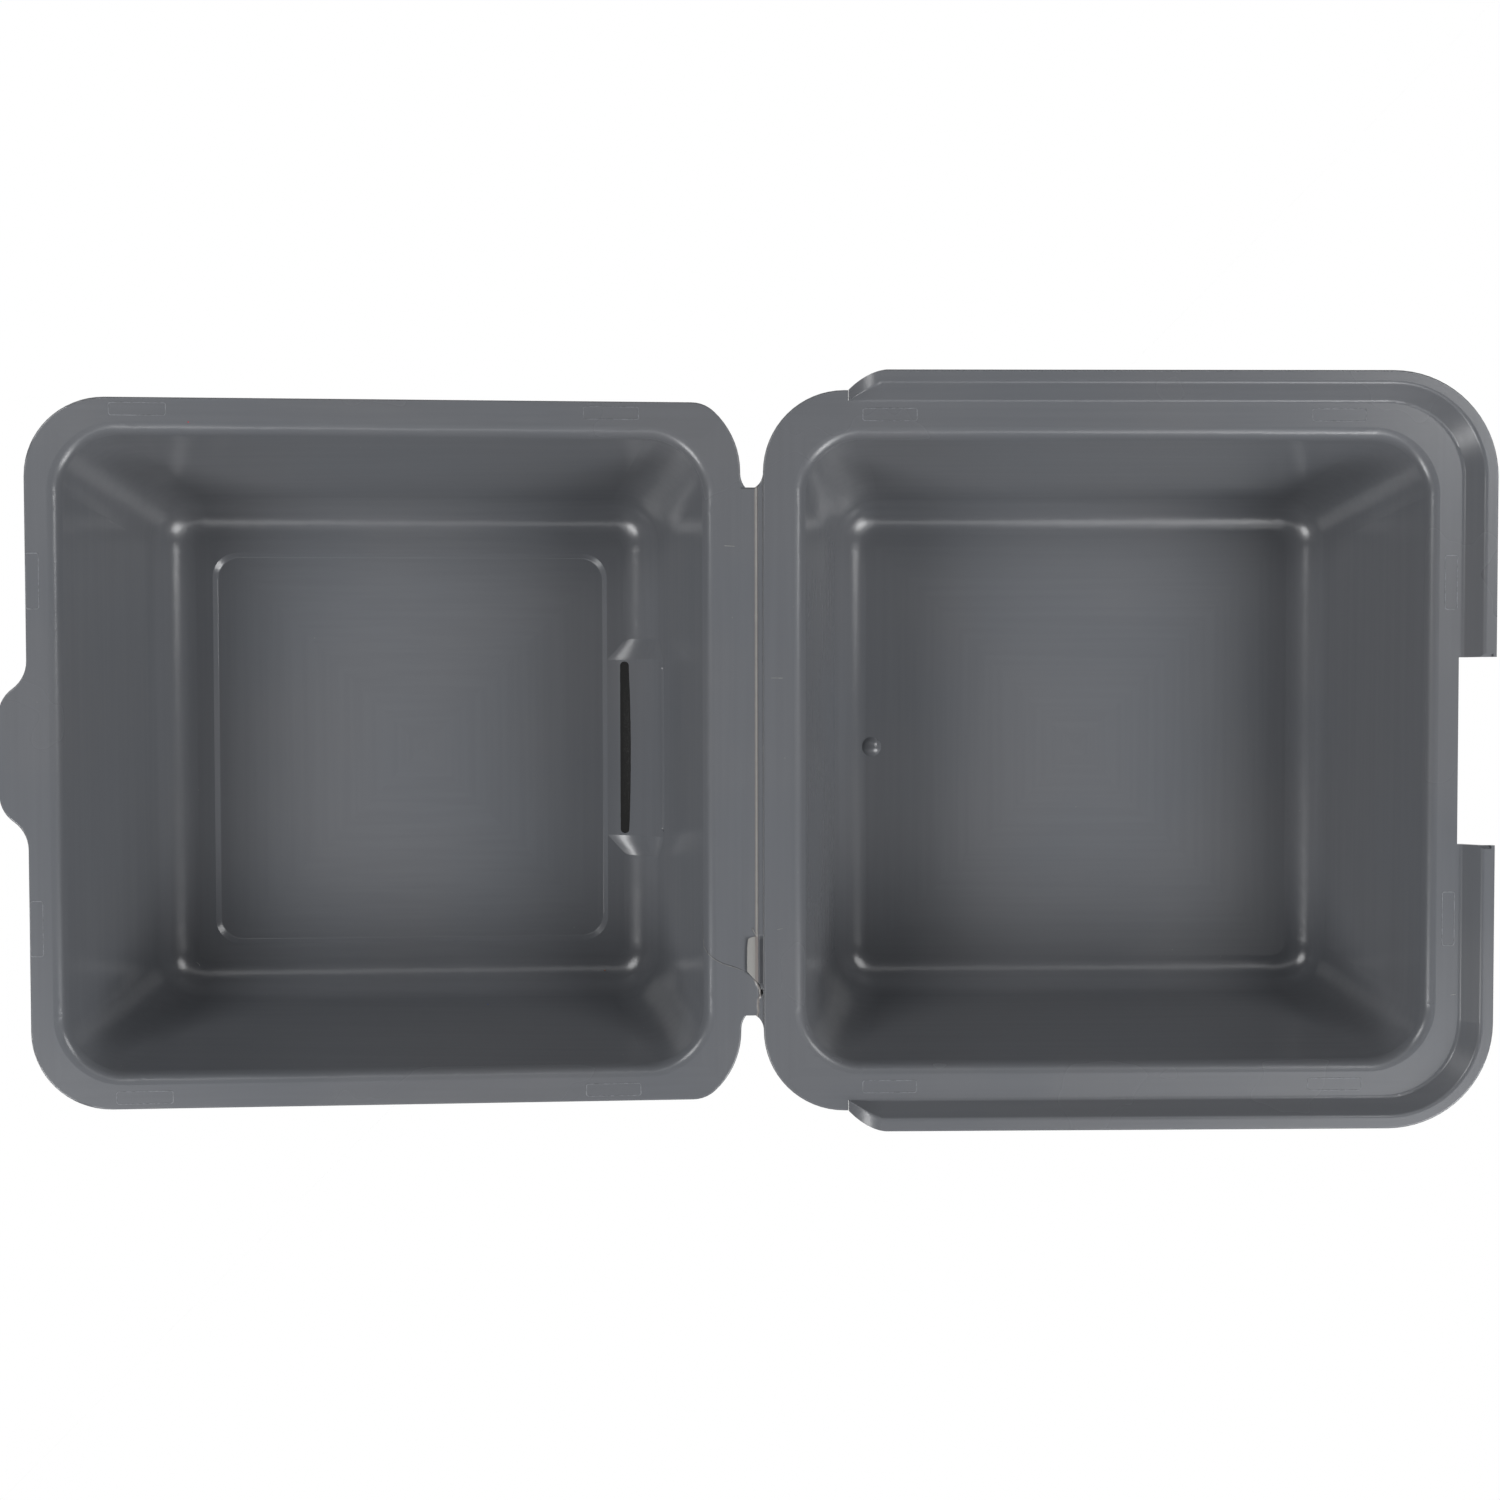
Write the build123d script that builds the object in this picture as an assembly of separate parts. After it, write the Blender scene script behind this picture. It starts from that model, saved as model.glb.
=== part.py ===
from build123d import *
import math
import os

# Clamshell burger box moulded in one shot: a deep base tray and a deep lid, joined by a living hinge.
# It lies open. The base stands level, the deeper lid leans on its own raised top panel.
# Millimetres, +Z up. The origin is on the table, under the middle of the hinge. The base is on +X.

# Walls of both tubs: corners a little tighter at the foot, floors that meet the walls in wide rounds
wall = 1.2
draft = 13.3
cavity_half = 58.1
rim_corner = 10.5
foot_corner = 9.0
rim_round = 2.3
floor_round = 7.0

# Heights from the table or the lid's top panel to the rim plane
base_height = 39.5
lid_height = 41.0

# Flat rim, measured out from the mouth of the tub
hinge_rim = 7.5
side_rim = 6.6
front_rim = 6.2
edge_round = 0.35

# Hinge
hinge_gap = 1.6
hinge_lift = 0.15
hinge_corner = 15.0
hinge_ear = 2.0
film_setback = 2.9
film_thick = 0.5
film_drop = 0.35
crease_thick = 0.32
crease_width = 0.6
film_flare = 1.5
film_flare_round = 3.5
tear_length = 14.4
tear_width = 0.4
tear_swing = 0.7

# Raised lip round three sides of the base rim, climbing from the rim by a ramp at each end
lip_corner = 14.3
lip_rise = 3.0
lip_run = 2.9
lip_flange = 2.35
lip_bend = 0.9
lip_start = 17.3
lip_ramp = 5.9
lip_ramp_steps = 5
lip_start_share = 0.02
lip_start_round = 12.6
lip_start_reach = 8.6
lip_start_crossing = 0.1

# Gap in the lip for the lid's finger tab
notch_half_width = 17.4
notch_edge = 0.65
nick_width = 3.2
nick_depth = 0.9

# Gate mark on the base floor, measured from the foot of the hinge-side wall
gate_inset = 6.7
gate_radius = 2.0
gate_rise = 0.8

# Lid
lid_clearance = 0.35
lid_shoulder = 0.95
shoulder_round = 4.0
lid_corner_blend = 6.0
ring_round = 7.5
ring_width = 9.2
top_panel_rise = 0.7
top_panel_bevel = 0.9
top_panel_corner = 5.0
top_panel_round = 0.35
tab_inset = 0.55
tab_tip_half_width = 7.0
tab_clearance = 0.4

# Steam vent in the lid: a bowed slot in a wider foot round, under a shallow groove in the wall
vent_length = 35.2
vent_width = 2.15
vent_inset = 4.4
vent_bow = 0.4
vent_end_round = 0.8
swell_length = 36.0
swell_taper = 4.5
swell_reach = 9.2
swell_sag = 2.1
swell_end_share = 0.55
groove_length = 33.6
groove_radius = 0.9
groove_depth = 0.4

slope = math.tan(math.radians(draft))
wall_across = wall / math.cos(math.radians(draft))
cavity_center = hinge_gap + hinge_rim + cavity_half
lip_half_width = cavity_half + side_rim
lip_front = cavity_center + cavity_half + front_rim
lip_outer_half = lip_half_width + lip_run + lip_flange
lip_outer_front = lip_front + lip_run + lip_flange
lid_half_width = lip_half_width - lid_clearance
lid_front = lip_front - lid_clearance
hinge_half_width = lip_half_width + hinge_ear
film_half_length = hinge_half_width - hinge_corner - film_setback
base_floor = base_height - wall
lid_ring = lid_height - wall - top_panel_rise
top_panel_half = cavity_half - lid_ring * slope - ring_width


def tub(depth, grow, bottom_round):
    """Square tub hanging from the rim plane, with drafted walls, grown outwards by grow."""
    half = cavity_half + grow
    bottom_half = half - depth * slope
    mouth = RectangleRounded(2 * half, 2 * half, rim_corner + grow)
    bottom = Pos(0, 0, -depth) * RectangleRounded(2 * bottom_half, 2 * bottom_half, foot_corner + grow)
    body = loft([mouth.face(), bottom.face()], ruled=True)
    body = fillet(body.edges().group_by(Axis.Z)[0], bottom_round)
    return Pos(cavity_center, 0, 0) * body


def pad(half, rise, bevel, corner, z):
    """Low square pad with bevelled sides and round corners, wide at z and narrow at z + rise."""
    low = RectangleRounded(2 * half, 2 * half, corner)
    high = RectangleRounded(2 * (half - bevel), 2 * (half - bevel), corner - bevel / 2)
    body = loft([(Pos(0, 0, z) * low).face(), (Pos(0, 0, z + rise) * high).face()], ruled=True)
    return Pos(cavity_center, 0, 0) * body


def plate(outline):
    """Flat rim of an outline, with its upper face in the rim plane."""
    return extrude(outline, -wall)


def round_rim(body):
    """Round the mouth of the tub and, one wall tighter, the bend under the rim."""
    def mouth_edges(level):
        level_edges = body.edges().filter_by_position(Axis.Z, level, level)
        reach = cavity_half + wall_across
        return [e for e in level_edges if max(abs(e.center().X - cavity_center), abs(e.center().Y)) < reach]

    body = fillet(mouth_edges(0), rim_round)
    return fillet(mouth_edges(-wall), rim_round - wall)


def flare(step, radius):
    """Fillet-like corner between a straight edge (the Y axis) and a film end (the X axis)."""
    turn = math.acos(1 - step / radius)
    run = radius * math.sin(turn)
    arc = JernArc((0, run), (0, -1), radius, -math.degrees(turn))
    return make_face([arc, Polyline((-step, 0), (0, 0), (0, run))])


def lip_path():
    """Foot of the lip wall, from the top of one ramp round the front to the top of the other."""
    first = lip_start + lip_ramp
    side = lip_front - lip_corner
    front = lip_half_width - lip_corner
    north = Line((first, lip_half_width), (side, lip_half_width))
    corner_a = JernArc((side, lip_half_width), (1, 0), lip_corner, -90)
    east = Line((lip_front, front), (lip_front, -front))
    corner_b = JernArc((lip_front, -front), (0, -1), lip_corner, -90)
    south = Line((side, -lip_half_width), (first, -lip_half_width))
    return Wire([north, corner_a, east, corner_b, south])


def lip_section(x, rise_share, run_share):
    """Section of the lip at x: a sloped wall, partly risen, and an outward flange, one wall thick."""
    rise = rise_share * lip_rise
    run = run_share * lip_run
    root = wall * (math.hypot(run, rise) - run) / rise
    tip = lip_run + lip_flange
    points = [
        (-wall, 0),
        (0, 0),
        (run, rise),
        (tip, rise),
        (tip, rise - wall),
        (root + run, rise - wall),
        (root, -wall),
        (-wall, -wall),
    ]
    section = make_face(Polyline(*points, close=True))
    bends = [section.vertices().sort_by_distance(p)[0] for p in ((0, 0), (run, rise))]
    section = fillet(bends, run_share * lip_bend)
    ends = [section.vertices().sort_by_distance(p)[0] for p in ((tip, rise), (tip, rise - wall))]
    section = fillet(ends, edge_round)
    return Plane(origin=(x, lip_half_width, 0), x_dir=(0, 1, 0), z_dir=(1, 0, 0)) * section


def lip():
    """Lip swept along its foot, its hinge ends ramped down to the rim and rounded off in plan."""
    steps = [lip_start_share] + [k / lip_ramp_steps for k in range(1, lip_ramp_steps + 1)]
    sections = [lip_section(lip_start + t * lip_ramp, math.sin(t * math.pi / 2), t) for t in steps]
    top = sections[-1]
    ramp = loft([section.face() for section in sections])
    body = sweep(top, path=lip_path()) + ramp + mirror(ramp, about=Plane.XZ)
    center_x = lip_start + lip_start_reach
    center_y = lip_outer_half - lip_start_round + lip_start_crossing
    span = center_x + lip_start_round
    for side in (1, -1):
        corner = Pos(center_x - span / 2, side * (center_y + span / 2)) * Rectangle(span, span)
        corner = corner - Pos(center_x, side * center_y) * Circle(lip_start_round)
        body = body - Pos(0, 0, -lip_rise) * extrude(corner, 3 * lip_rise)
    return body


def base_rim():
    """Flat rim of the base inside the foot of the lip, with ears at the hinge corners."""
    length = lip_front - hinge_gap
    ear = lip_start - hinge_gap
    outline = Pos(hinge_gap + length / 2, 0) * Rectangle(length, 2 * lip_half_width)
    outline = fillet(outline.vertices().group_by(Axis.X)[-1], lip_corner)
    ears = Pos(hinge_gap + ear / 2, 0) * Rectangle(ear, 2 * hinge_half_width)
    ears = fillet(ears.vertices().group_by(Axis.X)[0], hinge_corner)
    corners = Pos(hinge_gap + ear / 2, 0) * Rectangle(ear, 2 * hinge_half_width) - ears
    rim = plate(outline + ears - corners)
    free = [e for e in rim.edges().filter_by(Plane.XY) if e.center().X < lip_start - wall / 2]
    return fillet(free, edge_round)


def nick_wedge():
    """Small wedge that leaves a V nick where the lip bends, at an end of its gap."""
    return Rot(45, 0, 0) * Box(nick_width, nick_depth, nick_depth)


def base_tray():
    """Base: tray with a flat floor, flat rim, raised lip with its gap, and gate mark on the floor."""
    outer = tub(base_height, wall_across, floor_round + wall)
    inner = tub(base_floor, 0, floor_round)
    body = round_rim(base_rim() + outer - inner) + lip()
    notch = Box(
        2 * (lip_run + lip_flange), 2 * notch_half_width, 4 * lip_rise,
        align=(Align.MIN, Align.CENTER, Align.CENTER))
    body = body - Pos(lip_front - notch_edge, 0, 0) * notch
    for side in (1, -1):
        body = body - Pos(lip_front + lip_run, side * notch_half_width, lip_rise) * nick_wedge()
    gate_x = wall_x(base_floor) + gate_inset
    ball = (gate_radius ** 2 + gate_rise ** 2) / (2 * gate_rise)
    dome = Pos(0, 0, gate_rise - ball) * Sphere(ball)
    dome = dome & Cylinder(2 * gate_radius, 2 * gate_rise)
    return body + Pos(gate_x, 0, -base_floor) * dome


def lid_outline():
    """Flat rim of the lid with its hinge corners, shoulders and finger tab."""
    hinge_edge = hinge_gap + lid_shoulder
    depth = lid_front - hinge_edge
    block = Pos(hinge_edge + depth / 2, 0) * Rectangle(depth, 2 * hinge_half_width)
    block = fillet(block.vertices().group_by(Axis.X)[0], hinge_corner)
    trim = Pos(depth / 2, 0) * Rectangle(2 * lid_front - depth, 2 * lid_half_width)
    trim = fillet(trim.vertices().group_by(Axis.X)[-1], lip_corner)
    strip = Pos(hinge_edge, 0) * Rectangle(2 * lid_shoulder, 2 * film_half_length)
    shoulder = Pos(hinge_edge, film_half_length) * flare(lid_shoulder, shoulder_round)
    shoulders = shoulder + mirror(shoulder, about=Plane.XZ)
    body = block & trim
    bends = [v for v in body.vertices().group_by(Axis.X)[1] if abs(v.Y) > film_half_length]
    body = fillet(bends, lid_corner_blend)
    return body + strip + shoulders + tab_outline()


def tab_outline():
    """Finger tab: each side is an S of two equal arcs from the rim edge to the tip."""
    root = notch_half_width - tab_clearance
    tip_x = lip_outer_front - tab_inset
    mid_x = (lid_front + tip_x) / 2
    mid_y = (root + tab_tip_half_width) / 2
    half_turn = math.atan2(tip_x - lid_front, root - tab_tip_half_width)
    turn = math.degrees(2 * half_turn)
    radius = (root - tab_tip_half_width) / 2 / math.sin(2 * half_turn)
    hollow = JernArc((lid_front, root), (0, -1), radius, turn)
    middle = hollow % 1
    crown = JernArc((mid_x, mid_y), (middle.X, middle.Y), radius, -turn)
    back = lid_front - wall
    close_line = Polyline((lid_front, root), (back, root), (back, 0), (tip_x, 0), (tip_x, tab_tip_half_width))
    half = make_face([hollow, crown, close_line])
    return half + mirror(half, about=Plane.XZ)


def wall_x(depth):
    """Hinge-side inner wall of the tub at a depth below the rim plane."""
    return cavity_center - cavity_half + depth * slope


def foot_round(y, share):
    """Section at y of the fill that widens the round at the foot of the hinge-side wall."""
    reach = share * swell_reach
    lean = math.radians(draft)
    foot = Vector(wall_x(lid_ring), -lid_ring)
    low = foot + Vector(reach, 0)
    high = foot + Vector(-math.sin(lean), math.cos(lean)) * reach
    chord_middle = (low + high) / 2
    middle = chord_middle + (foot - chord_middle).normalized() * (share * swell_sag)
    arc = ThreePointArc((low.X, low.Y), (middle.X, middle.Y), (high.X, high.Y))
    sunk = -lid_ring - wall / 2
    back = Polyline(
        (high.X, high.Y), (high.X - wall / 2, high.Y), (foot.X - wall, sunk), (low.X, sunk), (low.X, low.Y))
    return Plane(origin=(0, y, 0), x_dir=(1, 0, 0), z_dir=(0, -1, 0)) * make_face([arc, back])


def vent_swell():
    """Fill that widens the round along the vent and fades out at both ends."""
    half = swell_length / 2
    faded = half + swell_taper
    stations = [(faded, swell_end_share), (half, 1), (-half, 1), (-faded, swell_end_share)]
    return loft([foot_round(y, share).face() for y, share in stations], ruled=True)


def vent_slot():
    """Bowed slot through the lid at the foot of the wall."""
    near_x = wall_x(lid_ring) + vent_inset
    far_x = near_x + vent_width
    half = vent_length / 2
    bow = ThreePointArc((near_x + vent_bow, half), (near_x, 0), (near_x + vent_bow, -half))
    back = Polyline((near_x + vent_bow, -half), (far_x, -half), (far_x, half), (near_x + vent_bow, half))
    outline = make_face([bow, back])
    outline = fillet(outline.vertices(), vent_end_round)
    return Pos(0, 0, -lid_ring - 2 * wall) * extrude(outline, 4 * wall)


def vent_groove():
    """Round-ended groove along the top of the swell."""
    straight = groove_length - 2 * groove_radius
    body = Rot(90, 0, 0) * Cylinder(groove_radius, straight)
    for side in (1, -1):
        body = body + Pos(0, side * straight / 2, 0) * Sphere(groove_radius)
    rise = swell_reach * math.cos(math.radians(draft))
    return Pos(wall_x(lid_ring - rise) + groove_radius - groove_depth, 0, rise - lid_ring) * body


def lid_flat():
    """Lid with its rim plane at zero, on the +X side of the hinge."""
    outer = tub(lid_ring + wall, wall_across, ring_round + wall)
    outer = outer + pad(top_panel_half + wall / 2, -top_panel_rise, top_panel_bevel, top_panel_corner,
                        -lid_ring - wall)
    inner = tub(lid_ring, 0, ring_round) - vent_swell()
    inner = inner + pad(top_panel_half, -top_panel_rise, top_panel_bevel, top_panel_corner, -lid_ring)
    inner = fillet(inner.edges().group_by(Axis.Z)[0], top_panel_round)
    rim = plate(lid_outline())
    rim = fillet(rim.edges().filter_by(Plane.XY), edge_round)
    body = round_rim(rim + outer - inner)
    return body - vent_slot() - vent_groove()


def lid_lean():
    """Angle by which the open lid leans, its top panel's hinge edge on the table."""
    foot_x = cavity_center - top_panel_half - wall / 2 + top_panel_bevel
    depth = lid_height + hinge_lift
    reach = math.hypot(foot_x, depth)
    return math.degrees(math.atan2(depth, foot_x) - math.asin((base_height + hinge_lift) / reach))


def swing_open(body):
    """Turn a body from the +X side of the hinge to the open, leaning lid side."""
    turned = Rot(0, 0, 180) * body
    hinge = Pos(0, 0, hinge_lift)
    return hinge * Rot(0, lid_lean(), 0) * hinge.inverse() * turned


def film_half():
    """Half of the hinge film from just past the crease to one rim, thinner along the crease."""
    top = -film_drop
    overlap = film_thick / 4
    section = make_face(Polyline(
        (-overlap, top), (hinge_gap, top), (hinge_gap, top - film_thick),
        (crease_width, top - film_thick), (0, top - crease_thick), (-overlap, top - crease_thick), close=True))
    return extrude(Plane.XZ * section, film_half_length, both=True)


def living_hinge():
    """Hinge film, flared where it meets the base, and torn along the crease at its -Y end."""
    corner = Pos(hinge_gap, film_half_length) * flare(film_flare, film_flare_round)
    corner = Pos(0, 0, -film_drop - film_thick) * extrude(corner, film_thick)
    body = film_half() + corner + mirror(corner, about=Plane.XZ) + swing_open(film_half())
    end = -hinge_half_width
    stop = -film_half_length + tear_length
    bend = stop - tear_length / 2
    tear = make_face(Polyline(
        (0, stop), (tear_swing + tear_width, bend), (tear_width, end), (-tear_width, end),
        (tear_swing - tear_width, bend), close=True))
    return body - Pos(0, 0, -wall) * extrude(tear, 2 * wall)


os.makedirs("parts", exist_ok=True)
on_table = Pos(0, 0, base_height)
nodes = {
    "base_tray": base_tray(),
    "lid": swing_open(lid_flat()),
    "living_hinge": living_hinge(),
}
for name, body in nodes.items():
    export_step(on_table * body, f"parts/{name}.step")
print("lid leans", round(lid_lean(), 3), "degrees")
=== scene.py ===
import math

import bpy
from mathutils import Matrix, Vector, noise
from mathutils.bvhtree import BVHTree

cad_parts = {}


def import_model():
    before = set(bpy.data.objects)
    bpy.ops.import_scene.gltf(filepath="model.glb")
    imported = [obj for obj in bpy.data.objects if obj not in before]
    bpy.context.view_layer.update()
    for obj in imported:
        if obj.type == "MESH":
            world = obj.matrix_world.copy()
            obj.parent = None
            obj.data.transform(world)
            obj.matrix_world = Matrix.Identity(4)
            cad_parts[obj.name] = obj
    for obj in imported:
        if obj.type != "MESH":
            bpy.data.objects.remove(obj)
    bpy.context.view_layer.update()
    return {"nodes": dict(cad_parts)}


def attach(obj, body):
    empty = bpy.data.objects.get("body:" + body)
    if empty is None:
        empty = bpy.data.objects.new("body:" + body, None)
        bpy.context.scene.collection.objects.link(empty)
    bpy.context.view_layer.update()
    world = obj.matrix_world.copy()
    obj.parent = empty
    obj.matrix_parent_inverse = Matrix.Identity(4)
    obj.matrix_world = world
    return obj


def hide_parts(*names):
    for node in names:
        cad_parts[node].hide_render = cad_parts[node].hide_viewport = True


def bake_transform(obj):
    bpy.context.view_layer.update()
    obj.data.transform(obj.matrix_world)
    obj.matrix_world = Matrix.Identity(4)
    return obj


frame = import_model()

MM = 0.001

# The open box in mm: middle of each half, the base's rim plane, hinge axis, half gap of the rims, half film
HALF_MIDDLE = 67.2
RIM_Z = 39.5
HINGE_Z = 39.65
HINGE_GAP = 1.6
FILM_HALF = 48.8
LID_LEAN = math.radians(2.974)

# Film in mm: thickness, place of the crease and its ridge, sink at the base, reach on to the lid, flare
FILM_THICK = 0.5
CREASE_THICK = 0.32
CREASE_AT = 0.3
RIDGE_RISE = 0.1
RIDGE_HALF = 0.24
FILM_SINK = 0.36
FILM_SKIN = 0.012
LID_REACH = 2.4
TUCK_RUN = 0.3
TUCK_DEPTH = 0.1
FLARE_STEP = 1.5
FLARE_ROUND = 3.5

# Torn stretch of the film along Y: its ends, ragged edge, crack and hole, and the peeled strip beside it
TEAR_TOP = -34.2
TEAR_FOOT = -42.8
TEAR_EDGE = [
    (-0.1, -42.1), (0.8, -43.9), (1.0, -45.2), (0.55, -45.8), (0.5, -47.0), (0.62, -48.0), (0.3, -49.0),
]
TEAR_EDGE_RISE = 0.12
TEAR_EDGE_HALF = 0.2
TEAR_GAP_DEPTH = 0.3
TEAR_CRACK = [(-2.2, -40.3), (-1.45, -40.75), (-0.1, -42.0), (0.8, -43.2), (1.28, -44.6)]
TEAR_CRACK_HALF = 0.11
TEAR_HOLE = (1.28, -44.6)
HOLE_HALF = (0.22, 0.5)
HOLE_DEPTH = 0.6
FLAP_EDGE = [(0.0, -34.05), (-1.3, -34.4), (-1.5, -36.0), (-1.52, -40.5), (-0.1, -42.1), (0.5, -42.7)]
FLAP_RIGHT = 0.58
FLAP_FOLD = -0.03
FLAP_LIFT = 0.5
FLAP_THICK = 0.14
FIBRE = [(-0.5, -32.5), (-0.25, -33.2), (0.05, -33.6), (0.3, -34.1)]
FIBRE_RISE = 0.12
FIBRE_HALF = (0.06, 0.05)

# Crack across the lid's rim, scratches and specks, in mm in plan
CRACK_PATH = [
    (-9.85, -31.4), (-9.48, -35.96), (-8.75, -37.1), (-7.81, -38.0), (-6.15, -38.95), (-3.74, -39.72),
    (-1.75, -40.6),
]
CRACK_WIDTH = 0.04
LIP_SHIFT = 0.13
LIP_RISE = 0.03
SCRATCH_WIDTH = 0.05
MARK_RISE = 0.02
BASE_SCRATCHES = {
    "scratch_a": [(3.0, 13.8), (5.25, 13.75)],
    "scratch_b": [(4.05, -32.85), (5.2, -32.6)],
    "scratch_c": [(129.8, -45.6), (130.9, -45.5)],
}
LID_SCRATCHES = {
    "scratch_d": [(-5.6, 38.1), (-3.55, 38.0)],
    "fibre": [(-112.9, -43.2), (-112.3, -43.6), (-112.0, -44.2)],
}
CRUMBS = {
    "crumb_red": (-101.9, 59.9, (0.5, 0.03, 0.05)),
    "crumb_blue": (-53.0, -51.1, (0.02, 0.06, 0.3)),
    "crumb_orange": (-30.2, -45.9, (0.45, 0.14, 0.03)),
}
CRUMB_RADIUS = 0.14
CRUMB_FLATNESS = 0.6

# Camera, fitted to the photograph: place over the rim plane in mm, turns in radians, lens in pixels
CAMERA_AT = (-6.55, 10.08, 329.53)
CAMERA_TURN = (0.0291, 0.0172, 0.0019)
FOCAL_PX = 1784.6
IMAGE_PX = 1500
SENSOR_MM = 36.0

# Grey polypropylene, the torn film, its paler stress-whitened form, and the dark of a crack
GREY = (0.147, 0.1535, 0.1665)
TORN = (0.205, 0.185, 0.178)
WHITENED = (0.28, 0.278, 0.268)
CRACK = (0.02, 0.02, 0.022)

# Gloss: roughness inside the halves, what handling adds on the rims, and the heights where that fades in mm
ROUGH_LOW = 0.21
ROUGH_HIGH = 0.25
RIM_WEAR = 0.03
RIM_FADE = (-4.0, -0.6)

# Scales of the plastic's patterns, per metre
CLOUD_SCALE = 28.0
GRAIN_SCALE = 900.0
SCUFF_SCALE = 60.0
DUST_SCALE = 170.0
STREAK_FINE = 900.0
STREAK_COARSE = 20.0

# Floor in mm: half its width, how far it lies below the box, and the reach of the painted shade round the
# foot
FLOOR_HALF = 6000.0
FLOOR_DROP = 0.2
SHADE_REACH = 12.0

# Round lamps, and lamps that show only in the gloss: azimuth and elevation in degrees, power in watts
LAMP_REACH = 0.7
LAMP_SIZE = 0.28
LAMPS = {
    "south_east": (-38, 35, 1.85),
    "south_east_low": (-38, 21, 0.95),
    "south_west": (215, 38, 2.2),
    "north_west": (148, 44, 1.52),
    "north_east": (25, 43, 1.42),
}
HIGH_SIZE = 0.4
HIGH_LAMPS = {
    "south_east_high": (-44, 47, 0.75),
    "south_west_high": (220, 47, 0.55),
}
STRIP_SIZE = (0.9, 0.13)
STRIPS = {
    "south_strip": (270, 53, 0.6),
    "north_strip": (90, 60, 0.5),
}
FILL = 0.01

# Ejector marks: middles of the pads on each half, in mm, and the pad's size
PAD_LONG = 10.0
PAD_SHORT = 2.25
PAD_CORNER = 0.4
PAD_BEAD = 0.09
LID_PADS_X = (-110.9, -26.2)
BASE_PADS_X = (25.0, 108.2)
SIDE_PAD_Y = 62.2
END_PAD_Y = 31.3
LID_END_PAD_X = -129.65
BASE_END_PAD_X = 129.3


class Shader:
    """Small helper round one material's node tree."""

    def __init__(self, name):
        self.material = bpy.data.materials.new(name)
        self.material.use_nodes = True
        self.tree = self.material.node_tree
        self.surface = self.tree.nodes.get("Principled BSDF")

    def put(self, socket, value):
        if isinstance(value, bpy.types.NodeSocket):
            self.tree.links.new(value, socket)
        else:
            socket.default_value = value

    def add(self, kind, inputs=None, **settings):
        node = self.tree.nodes.new("ShaderNode" + kind)
        for key, value in settings.items():
            setattr(node, key, value)
        for key, value in (inputs or {}).items():
            self.put(node.inputs[key], value)
        return node

    def math(self, operation, first, second=0.0):
        node = self.add("Math", {0: first, 1: second}, operation=operation)
        return node.outputs[0]

    def ramp(self, value, low, high, to_low=0.0, to_high=1.0):
        inputs = {"Value": value, "From Min": low, "From Max": high, "To Min": to_low, "To Max": to_high}
        return self.add("MapRange", inputs, interpolation_type="SMOOTHSTEP").outputs["Result"]

    def mix(self, factor, first, second, blend="MIX"):
        node = self.add("Mix", data_type="RGBA", blend_type=blend)
        self.put(node.inputs["Factor"], factor)
        self.put(node.inputs[6], first)
        self.put(node.inputs[7], second)
        return node.outputs[2]

    def noise(self, place, scale, detail=2.0):
        inputs = {"Vector": place, "Scale": scale, "Detail": detail}
        return self.add("TexNoise", inputs).outputs["Fac"]

    def set(self, **values):
        for key, value in values.items():
            self.put(self.surface.inputs[key.replace("_", " ")], value)


def streaks(shader, place):
    """Fine lines that run along the nearest side of the box, as the mould's polishing leaves them."""
    parts = shader.add("SeparateXYZ", {0: place})
    across = shader.math("ABSOLUTE", parts.outputs["X"])
    across = shader.math("ABSOLUTE", shader.math("SUBTRACT", across, HALF_MIDDLE * MM))
    along = shader.math("ABSOLUTE", parts.outputs["Y"])
    on_side = shader.math("GREATER_THAN", along, across)
    along_x = (STREAK_COARSE, STREAK_FINE, STREAK_FINE)
    along_y = (STREAK_FINE, STREAK_COARSE, STREAK_FINE)
    run_x = shader.add("Mapping", {"Vector": place, "Scale": along_x}).outputs[0]
    run_y = shader.add("Mapping", {"Vector": place, "Scale": along_y}).outputs[0]
    chosen = shader.add("Mix", data_type="VECTOR")
    shader.put(chosen.inputs["Factor"], on_side)
    shader.put(chosen.inputs[4], run_y)
    shader.put(chosen.inputs[5], run_x)
    return shader.noise(chosen.outputs[1], 1.0, 3.0)


def on_rim(shader, place):
    """1 on the rims, 0 deeper inside the halves; the lid's rim plane leans with it."""
    parts = shader.add("SeparateXYZ", {0: place})
    fall = shader.math("MULTIPLY", shader.math("MINIMUM", parts.outputs["X"], 0.0), math.tan(LID_LEAN))
    depth = shader.math("ADD", shader.math("SUBTRACT", parts.outputs["Z"], RIM_Z * MM), fall)
    return shader.ramp(depth, RIM_FADE[0] * MM, RIM_FADE[1] * MM)


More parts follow.
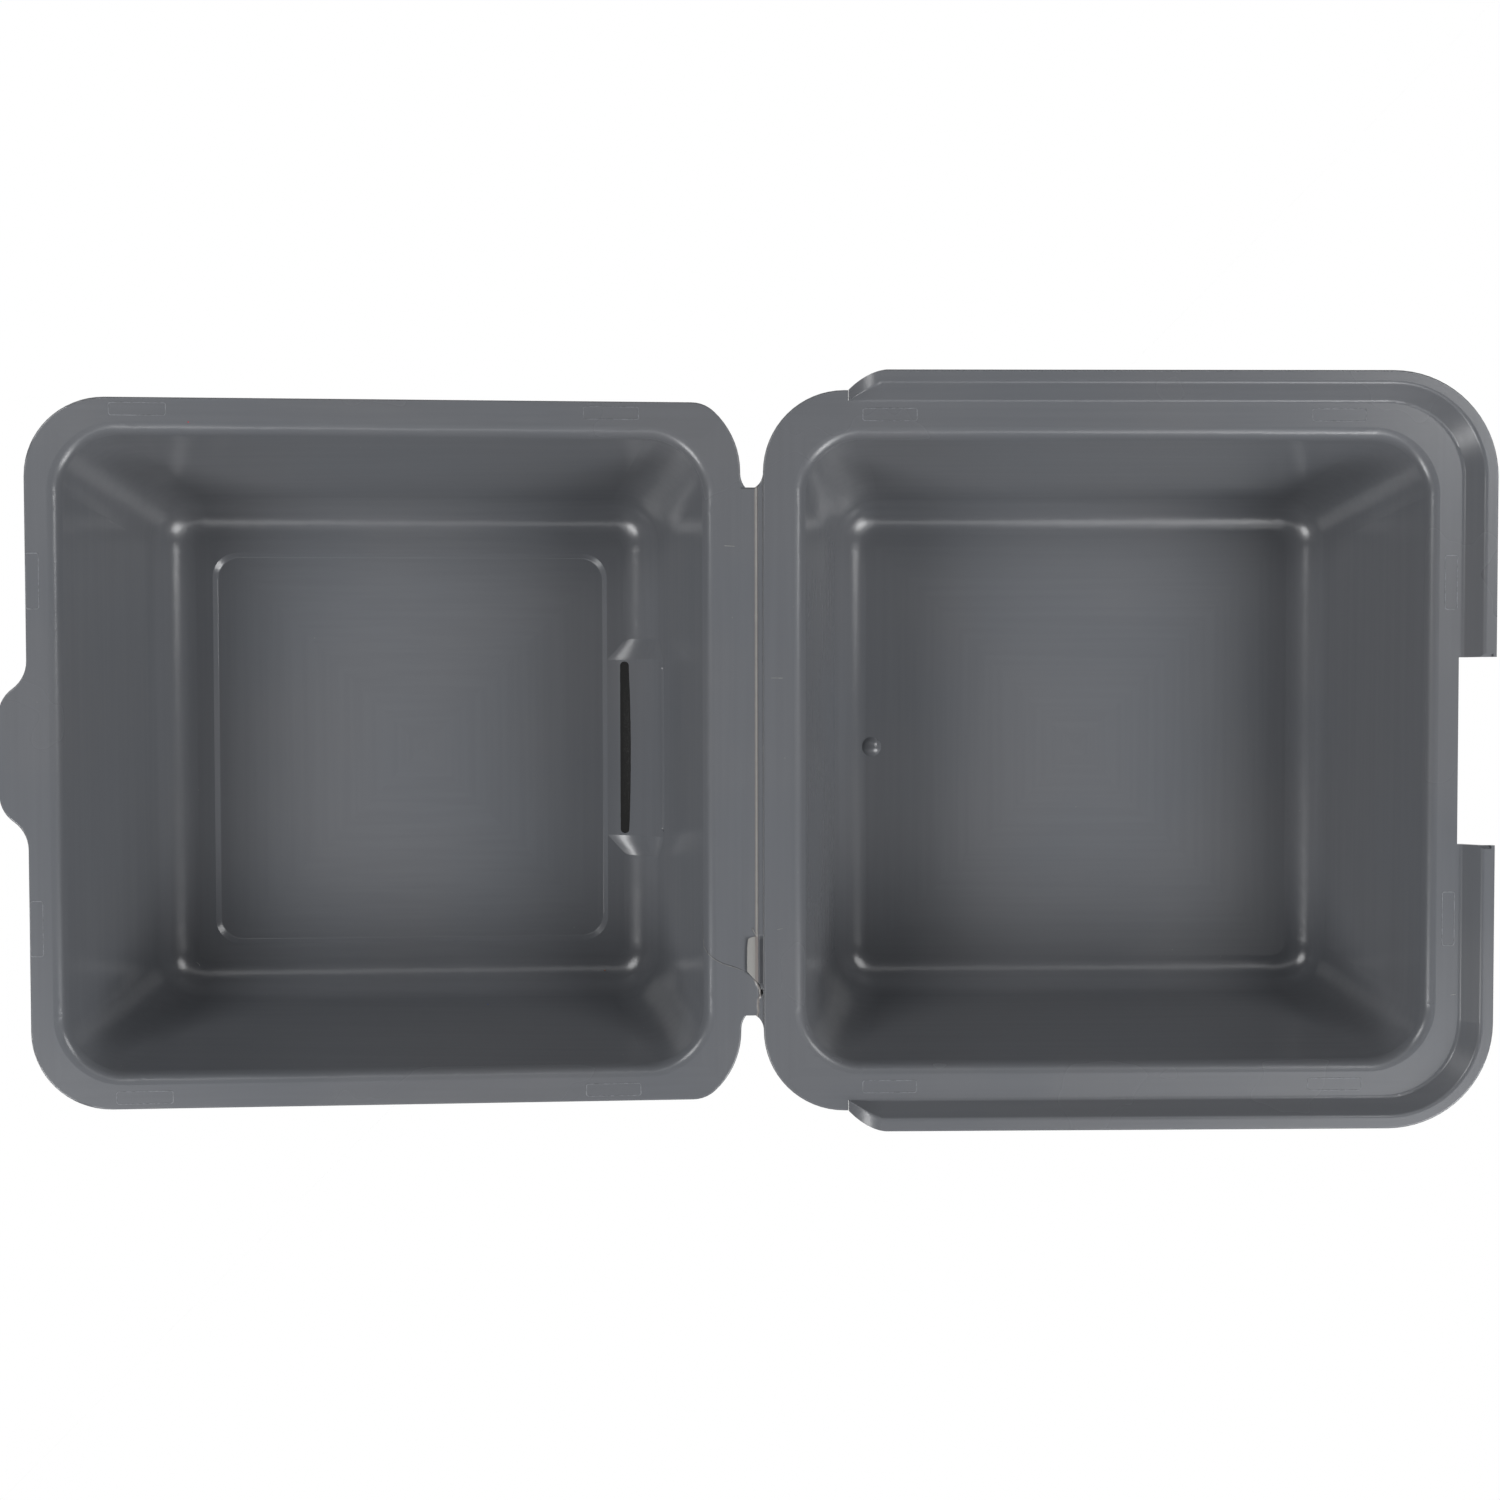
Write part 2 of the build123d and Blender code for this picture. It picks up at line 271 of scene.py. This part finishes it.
def plastic(name, whitened=False):
    """Satin moulded polypropylene: clouds, polishing lines, dust specks, uneven gloss, scuffed rims."""
    shader = Shader(name)
    place = shader.add("TexCoord").outputs["Object"]
    clouds = shader.ramp(shader.noise(place, CLOUD_SCALE, 3.0), 0.3, 0.7)
    grain = shader.noise(place, GRAIN_SCALE)
    lines = streaks(shader, place)
    rim = on_rim(shader, place)
    cool = tuple(c * s for c, s in zip(GREY, (0.985, 0.994, 1.004)))
    warm = tuple(c * s for c, s in zip(GREY, (1.012, 1.004, 0.998)))
    color = shader.mix(clouds, (*cool, 1), (*warm, 1))
    shade = shader.ramp(lines, 0.25, 0.75, 0.975, 1.025)
    color = shader.mix(1.0, color, shade, "MULTIPLY")
    scuffs = shader.ramp(shader.noise(place, SCUFF_SCALE, 6.0), 0.45, 0.8, 0.0, 0.04)
    color = shader.mix(shader.math("MULTIPLY", rim, scuffs), color, (*WHITENED, 1))
    specks = shader.add("TexVoronoi", {"Vector": place, "Scale": DUST_SCALE}).outputs["Distance"]
    dust = shader.ramp(specks, 0.012, 0.024, 0.55, 0.0)
    color = shader.mix(dust, color, (*WHITENED, 1))
    if whitened:
        stress = shader.add("Attribute", attribute_name="stress").outputs["Fac"]
        crack = shader.add("Attribute", attribute_name="crack").outputs["Fac"]
        color = shader.mix(shader.ramp(stress, 0.0, 0.5), color, (*TORN, 1))
        color = shader.mix(shader.ramp(stress, 0.5, 1.0), color, (*WHITENED, 1))
        # The crack attribute darkens the crack line, and paints shade into the hole at the foot of the tear
        color = shader.mix(crack, color, (*CRACK, 1))
    rough = shader.ramp(clouds, 0.0, 1.0, ROUGH_LOW, ROUGH_HIGH)
    rough = shader.math("ADD", rough, shader.math("MULTIPLY", rim, RIM_WEAR))
    height = shader.math("ADD", shader.math("MULTIPLY", grain, 0.6), lines)
    bump = shader.add("Bump", {"Strength": 0.02, "Distance": 0.0004, "Height": height})
    shader.set(Base_Color=color, Roughness=rough, Normal=bump.outputs[0])
    return shader.material


def plain(name, color, roughness):
    """Small marks of one colour, a little uneven."""
    shader = Shader(name)
    place = shader.add("TexCoord").outputs["Object"]
    shade = shader.ramp(shader.noise(place, 1500.0), 0.3, 0.7, 0.75, 1.25)
    shader.set(Base_Color=shader.mix(1.0, (*color, 1), shade, "MULTIPLY"), Roughness=roughness)
    return shader.material


def link(name, points, faces, material, rounded=True):
    """New mesh object from points in mm."""
    mesh = bpy.data.meshes.new(name)
    mesh.from_pydata([Vector(p) * MM for p in points], [], faces)
    mesh.validate()
    for face in mesh.polygons:
        face.use_smooth = rounded
    mesh.materials.append(material)
    obj = bpy.data.objects.new(name, mesh)
    bpy.context.scene.collection.objects.link(obj)
    return obj


class Skin:
    """Surface of a CAD node, to lay small marks on."""

    def __init__(self, node):
        self.tree = BVHTree.FromObject(frame["nodes"][node], bpy.context.evaluated_depsgraph_get())

    def below(self, x, y):
        """Highest point of the node under (x, y), with its normal, in mm."""
        above_all = 60.0
        hit, normal, _, _ = self.tree.ray_cast(Vector((x, y, above_all)) * MM, Vector((0, 0, -1)))
        if hit is None:
            hit, normal, _, _ = self.tree.find_nearest(Vector((x, y, RIM_Z)) * MM)
        return hit / MM, normal


def ring_faces(rings, sides, closed):
    """Quads between rings of points, and lids on the ends of an open tube."""
    faces = []
    last = rings if closed else rings - 1
    for i in range(last):
        a = i * sides
        b = (i + 1) % rings * sides
        for k in range(sides):
            n = (k + 1) % sides
            faces.append((a + k, a + n, b + n, b + k))
    if not closed:
        faces.append(tuple(reversed(range(sides))))
        faces.append(tuple(range((rings - 1) * sides, rings * sides)))
    return faces


def tube(points, normals, half_width, half_height, closed=False, sides=6):
    """Tube with an oval section laid along points, its height along the normals."""
    verts = []
    count = len(points)
    for i, (p, n) in enumerate(zip(points, normals)):
        before = points[(i - 1) % count] if closed or i > 0 else p
        after = points[(i + 1) % count] if closed or i < count - 1 else p
        run = (after - before).normalized()
        side = run.cross(n).normalized()
        wide = half_width[i] if isinstance(half_width, list) else half_width
        for k in range(sides):
            turn = 2 * math.pi * k / sides
            verts.append(p + side * (wide * math.cos(turn)) + n * (half_height * math.sin(turn)))
    return verts, ring_faces(count, sides, closed)


def pad_outline(x, y, wide, deep):
    """Points of a round-cornered rectangle in plan."""
    steps = 4
    points = []
    for k, (sx, sy) in enumerate(((1, 1), (-1, 1), (-1, -1), (1, -1))):
        cx = x + sx * (wide / 2 - PAD_CORNER)
        cy = y + sy * (deep / 2 - PAD_CORNER)
        for s in range(steps + 1):
            turn = math.radians(90 * (k + s / steps))
            points.append((cx + PAD_CORNER * math.cos(turn), cy + PAD_CORNER * math.sin(turn)))
    return points


def ejector_marks(name, node, body, side_x, end_x, material):
    """Fine raised outlines that the mould's ejector bars leave on the rim."""
    skin = Skin(node)
    pads = [(x, s * SIDE_PAD_Y, PAD_LONG, PAD_SHORT) for x in side_x for s in (1, -1)]
    pads += [(end_x, s * END_PAD_Y, PAD_SHORT, PAD_LONG) for s in (1, -1)]
    verts, faces = [], []
    for pad in pads:
        laid = [skin.below(x, y) for x, y in pad_outline(*pad)]
        points = [hit for hit, _ in laid]
        normals = [normal for _, normal in laid]
        more, quads = tube(points, normals, PAD_BEAD, PAD_BEAD * 0.5, closed=True)
        faces += [tuple(v + len(verts) for v in q) for q in quads]
        verts += more
    marks = link(name, verts, faces, material)
    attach(marks, body)


def line_mark(name, node, body, path, width, height, material):
    """Thin line laid on a node along a path in plan, tapered to its ends."""
    skin = Skin(node)
    dense = []
    for (x0, y0), (x1, y1) in zip(path, path[1:]):
        steps = max(2, int(math.hypot(x1 - x0, y1 - y0) / 0.25))
        dense += [(x0 + (x1 - x0) * s / steps, y0 + (y1 - y0) * s / steps) for s in range(steps)]
    dense.append(path[-1])
    laid = [skin.below(x, y) for x, y in dense]
    points = [hit for hit, _ in laid]
    normals = [normal for _, normal in laid]
    last = len(points) - 1
    widths = [width * min(1.0, 0.25 + 6 * i / last, 0.25 + 6 * (last - i) / last) for i in range(last + 1)]
    verts, faces = tube(points, normals, widths, height)
    mark = link(name, verts, faces, material)
    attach(mark, body)


def smooth(value, low, high):
    """Smooth step from 0 at low to 1 at high; low may be the larger."""
    t = min(1.0, max(0.0, (value - low) / (high - low)))
    return t * t * (3 - 2 * t)


def rough_line(y, scale, seed):
    """Smooth wobble between -1 and 1 along the hinge."""
    return noise.noise(Vector((y * scale, seed, 0.0)))


def lean(x, z):
    """Height of a point of the lid side of the film, which leans with the lid."""
    if x >= 0:
        return z
    return HINGE_Z + (z - HINGE_Z) * math.cos(LID_LEAN) - x * math.sin(LID_LEAN)


def film_end(x):
    """Half length of the film at x: longer where it flares out to the base."""
    gone = min(FLARE_STEP, HINGE_GAP - x)
    run = math.sqrt(FLARE_ROUND ** 2 - (FLARE_ROUND - FLARE_STEP) ** 2)
    return FILM_HALF + run - math.sqrt(FLARE_ROUND ** 2 - (FLARE_ROUND - gone) ** 2)


def across_at(path, y):
    """X of a path at y, where the path runs down along Y; its nearer end beyond its ends."""
    if y >= path[0][1]:
        return path[0][0]
    for (x0, y0), (x1, y1) in zip(path, path[1:]):
        if y >= y1:
            return x0 + (x1 - x0) * (y - y0) / (y1 - y0)
    return path[-1][0]


def within(y, path):
    """1 where a path down along Y passes, 0 beyond its ends."""
    return smooth(y, path[0][1] + 0.1, path[0][1] - 0.1) * smooth(y, path[-1][1] - 0.1, path[-1][1] + 0.1)


def torn_at(y):
    """Share of the crease that is gone at y, and the share of the gap that stands open."""
    torn = smooth(y, TEAR_TOP + 0.5, TEAR_TOP - 0.5)
    return torn, torn * smooth(y, TEAR_FOOT - 0.8, TEAR_FOOT)


def hole_at(x, y):
    """How deep the point lies in the hole at the foot of the tear, from 0 to 1."""
    off_x = (x - TEAR_HOLE[0]) / HOLE_HALF[0]
    off_y = (y - TEAR_HOLE[1]) / HOLE_HALF[1]
    return math.exp(-off_x ** 2 - off_y ** 2)


def film_top(x, y):
    """Height of the film's upper face: flush with the lid, a ridge along the crease, sunk at the base."""
    torn, opened = torn_at(y)
    sunk = FILM_SINK * smooth(x, CREASE_AT + 0.15, CREASE_AT + 0.5)
    tucked = TUCK_DEPTH * smooth(x, -LID_REACH, -LID_REACH - TUCK_RUN)
    ridge = RIDGE_RISE * math.exp(-((x - CREASE_AT) / RIDGE_HALF) ** 2) * (1 - torn)
    gap = TEAR_GAP_DEPTH * opened * smooth(x, CREASE_AT + 0.1, CREASE_AT + 0.5)
    off_edge = (x - across_at(TEAR_EDGE, y)) / TEAR_EDGE_HALF
    edge = TEAR_EDGE_RISE * math.exp(-off_edge ** 2) * within(y, TEAR_EDGE)
    return RIM_Z + FILM_SKIN - sunk - tucked + ridge - gap + edge - HOLE_DEPTH * hole_at(x, y)


def film_stress(x, y):
    """How far the film is whitened: along the crease, and along the ragged edge of the tear."""
    torn, _ = torn_at(y)
    width = 0.25 + 0.05 * rough_line(y, 0.5, 2.0)
    patchy = 0.9 + 0.12 * rough_line(y, 0.21, 9.0) + 0.1 * rough_line(y, 2.3, 11.0)
    crease = math.exp(-((x - CREASE_AT) / width) ** 4) * patchy * (1 - torn)
    edge_at = across_at(TEAR_EDGE, y) + 0.1 * rough_line(y, 2.6, 5.0)
    ragged = 0.17 + 0.09 * rough_line(y, 3.1, 8.0)
    edge = math.exp(-((x - edge_at) / ragged) ** 4) * within(y, TEAR_EDGE)
    return max(crease, 0.85 * edge)


def film_crack_and_hole_shade(x, y):
    """How dark the film is: along the crack that runs under the peeled strip, and painted shade in the hole
    it runs into.
    """
    line_at = across_at(TEAR_CRACK, y) + 0.05 * rough_line(y, 2.0, 4.0)
    line = math.exp(-((x - line_at) / TEAR_CRACK_HALF) ** 2) * within(y, TEAR_CRACK)
    # The hole's share is painted shade in the recess
    return min(1.0, line + hole_at(x, y) ** 0.5)


def sheet(name, top, thickness, material):
    """Closed thin sheet under a grid of points."""
    rows, count = len(top), len(top[0])
    upper = [p for row in top for p in row]
    lower = [(p[0], p[1], p[2] - t) for p, t in zip(upper, (thickness(p[0]) for p in upper))]
    under = len(upper)
    faces = []
    for j in range(rows - 1):
        for i in range(count - 1):
            a = j * count + i
            faces.append((a, a + 1, a + 1 + count, a + count))
            faces.append((a + under, a + count + under, a + 1 + count + under, a + 1 + under))
    border = list(range(count))
    border += [j * count + count - 1 for j in range(1, rows)]
    border += [(rows - 1) * count + i for i in range(count - 2, -1, -1)]
    border += [j * count for j in range(rows - 2, 0, -1)]
    for a, b in zip(border, border[1:] + border[:1]):
        faces.append((a, a + under, b + under, b))
    return link(name, upper + lower, faces, material)


def paint(obj, name, value):
    """Mesh attribute from a function of x and y in mm."""
    values = [value(v.co.x / MM, v.co.y / MM) for v in obj.data.vertices]
    obj.data.attributes.new(name, "FLOAT", "POINT").data.foreach_set("value", values)


def hinge_film(material):
    """Thin film across the hinge, leaning with the lid as it stands open, with finer rows along its tear.
    """
    across = [-LID_REACH - TUCK_RUN, -LID_REACH, -1.6, -1.2, -0.9, -0.6, -0.4, -0.2]
    across += [0.1 * i for i in range(15)] + [1.48, HINGE_GAP - 0.02]
    fine_from, coarse_rows, fine_rows = TEAR_TOP + 1.5, 160, 200
    down = [FILM_HALF + (fine_from - FILM_HALF) * j / coarse_rows for j in range(coarse_rows)]
    down += [fine_from + (-FILM_HALF - fine_from) * j / fine_rows for j in range(fine_rows + 1)]
    top = []
    for y in down:
        near_end = smooth(abs(y), FILM_HALF - 3.0, FILM_HALF)
        stretched = [math.copysign(abs(y) + (film_end(x) - FILM_HALF) * near_end, y) for x in across]
        top.append([(x, v, lean(x, film_top(x, v))) for x, v in zip(across, stretched)])

    def thickness(x):
        return FILM_THICK - (FILM_THICK - CREASE_THICK) * math.exp(-(x / 0.4) ** 2)

    film_piece = sheet("hinge_film", top, thickness, material)
    paint(film_piece, "stress", film_stress)
    paint(film_piece, "crack", film_crack_and_hole_shade)
    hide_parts("living_hinge")
    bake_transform(film_piece)


def torn_flap(material):
    """Peeled strip of film that stands up beside the tear, whitened by the strain."""
    rows, columns = 60, 14
    first, last = FLAP_EDGE[0][1], FLAP_EDGE[-1][1]
    top = []
    for j in range(rows + 1):
        y = first + (last - first) * j / rows
        left = across_at(FLAP_EDGE, y) + 0.05 * rough_line(y, 1.1, 3.0)
        right = FLAP_RIGHT + 0.05 * rough_line(y, 1.7, 7.0)
        row = []
        for i in range(columns + 1):
            x = right + (left - right) * i / columns
            lift = 0.02 + 0.1 * smooth(x, FLAP_RIGHT, FLAP_FOLD) + FLAP_LIFT * smooth(x, FLAP_FOLD, -2.0)
            row.append((x, y, RIM_Z + lift))
        top.append(row)
    flap = sheet("torn_flap", top, lambda x: FLAP_THICK, material)
    paint(flap, "stress", lambda x, y: 0.5 + 0.5 * smooth(x, FLAP_FOLD + 0.1, FLAP_FOLD - 0.05))
    paint(flap, "crack", lambda x, y: 0.0)
    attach(flap, "base_half")


def frayed_fibre(material):
    """Loose fibre of the film above the tear."""
    points = [Vector((x, y, RIM_Z + FIBRE_RISE)) for x, y in FIBRE]
    verts, faces = tube(points, [Vector((0, 0, 1))] * len(points), *FIBRE_HALF)
    fibre = link("frayed_fibre", verts, faces, material)
    paint(fibre, "stress", lambda x, y: 1.0)
    paint(fibre, "crack", lambda x, y: 0.0)
    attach(fibre, "base_half")


def crumb(name, x, y, radius, material):
    """Speck stuck to the lid."""
    hit, normal = Skin("lid").below(x, y)
    rings, sides = 4, 8
    turn = normal.to_track_quat("Z", "X").to_matrix()
    verts = []
    for r in range(1, rings):
        tilt = math.pi * r / rings
        for k in range(sides):
            spin = 2 * math.pi * k / sides
            out = math.sin(tilt)
            flat = Vector((out * math.cos(spin), out * math.sin(spin), CRUMB_FLATNESS * math.cos(tilt)))
            verts.append(hit + turn @ flat * radius)
    speck = link(name, verts, ring_faces(rings - 1, sides, False), material)
    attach(speck, "lid_half")


def camera():
    """Camera of the photograph, looking down into the open box."""
    data = bpy.data.cameras.new("camera")
    data.sensor_width = SENSOR_MM
    data.lens = FOCAL_PX / IMAGE_PX * SENSOR_MM
    data.clip_start = 0.01
    obj = bpy.data.objects.new("camera", data)
    bpy.context.scene.collection.objects.link(obj)
    a, b, c = CAMERA_TURN
    turn = Matrix.Rotation(c, 3, "Z") @ Matrix.Rotation(a, 3, "X") @ Matrix.Rotation(b, 3, "Y")
    place = Vector((CAMERA_AT[0], CAMERA_AT[1], CAMERA_AT[2] + RIM_Z)) * MM
    obj.matrix_world = Matrix.Translation(place) @ turn.transposed().to_4x4()
    bpy.context.scene.camera = obj


def floor():
    """Pale floor: white to the eye in the open, with painted shade from ambient occlusion where the box
    closes it off.
    """
    signs = ((-1, -1), (1, -1), (1, 1), (-1, 1))
    corners = [(sx * FLOOR_HALF, sy * FLOOR_HALF, -FLOOR_DROP) for sx, sy in signs]
    shader = Shader("floor")
    shader.set(Base_Color=(0.8, 0.8, 0.8, 1), Roughness=0.9)
    rays = shader.add("LightPath").outputs
    seen = shader.math("MAXIMUM", rays["Is Camera Ray"], rays["Is Glossy Ray"])
    seen = shader.math("MAXIMUM", seen, rays["Is Transmission Ray"])
    # Painted shade: the floor's white glow is dimmed by ambient occlusion under and round the box
    painted_shade_occlusion = shader.add("AmbientOcclusion", {"Distance": SHADE_REACH * MM}, samples=16).outputs["AO"]
    shade = shader.ramp(painted_shade_occlusion, 0.55, 0.94, 0.02, 1.0)
    glow = shader.add("Emission", {"Color": (1, 1, 1, 1), "Strength": shade})
    both = shader.add("MixShader", {0: seen, 1: shader.surface.outputs[0], 2: glow.outputs[0]})
    output = shader.tree.nodes["Material Output"]
    shader.tree.links.new(both.outputs[0], output.inputs["Surface"])
    link("floor", corners, [(0, 1, 2, 3)], shader.material, rounded=False)


def lamp(name, azimuth, elevation, power, size):
    """Area lamp that looks at the middle of the box: a disk, or a strip where two sizes are given."""
    data = bpy.data.lights.new(name, "AREA")
    data.energy = power
    if isinstance(size, tuple):
        data.shape = "RECTANGLE"
        data.size, data.size_y = size
    else:
        data.shape = "DISK"
        data.size = size
    obj = bpy.data.objects.new(name, data)
    a, e = math.radians(azimuth), math.radians(elevation)
    toward = Vector((math.cos(e) * math.cos(a), math.cos(e) * math.sin(a), math.sin(e)))
    obj.location = toward * LAMP_REACH + Vector((0, 0, RIM_Z * MM))
    obj.rotation_euler = (-toward).to_track_quat("-Z", "Y").to_euler()
    bpy.context.scene.collection.objects.link(obj)
    return obj


def world():
    """Weak even fill."""
    w = bpy.data.worlds.new("world")
    bpy.context.scene.world = w
    w.use_nodes = True
    background = w.node_tree.nodes["Background"]
    background.inputs["Color"].default_value = (1, 1, 1, 1)
    background.inputs["Strength"].default_value = FILL


bpy.context.scene.view_settings.view_transform = "Standard"
camera()
world()
floor()
for lamp_name, placing in LAMPS.items():
    lamp(lamp_name, *placing, LAMP_SIZE)
for lamp_name, placing in HIGH_LAMPS.items():
    lamp(lamp_name, *placing, HIGH_SIZE).visible_diffuse = False
for strip_name, placing in STRIPS.items():
    lamp(strip_name, *placing, STRIP_SIZE).visible_diffuse = False

grey = plastic("grey_plastic")
film = plastic("hinge_film", whitened=True)
for name, node in frame["nodes"].items():
    node.data.materials.clear()
    node.data.materials.append(film if name == "living_hinge" else grey)

hinge_film(film)
torn_flap(film)
frayed_fibre(film)
dark = plain("crack_dark", CRACK, 0.8)
pale = plain("scuffed", tuple(0.95 * c for c in WHITENED), 0.5)
# Ejector outlines: real raised beads, drawn in a paler grey that is a painted highlight along their edges
moulded = plain("ejector_bead_painted_highlight", tuple(1.25 * c for c in GREY), 0.4)
line_mark("crack", "lid", "lid_half", CRACK_PATH, CRACK_WIDTH, MARK_RISE, dark)
lip_path = [(x, y - LIP_SHIFT) for x, y in CRACK_PATH]
line_mark("crack_edge", "lid", "lid_half", lip_path, CRACK_WIDTH, LIP_RISE, pale)
for name, path in BASE_SCRATCHES.items():
    line_mark(name, "base_tray", "base_half", path, SCRATCH_WIDTH, MARK_RISE, pale)
for name, path in LID_SCRATCHES.items():
    line_mark(name, "lid", "lid_half", path, SCRATCH_WIDTH, MARK_RISE, pale)
for name, (x, y, color) in CRUMBS.items():
    crumb(name, x, y, CRUMB_RADIUS, plain(name, color, 0.5))

ejector_marks("base_ejector_marks", "base_tray", "base_half", BASE_PADS_X, BASE_END_PAD_X, moulded)
ejector_marks("lid_ejector_marks", "lid", "lid_half", LID_PADS_X, LID_END_PAD_X, moulded)
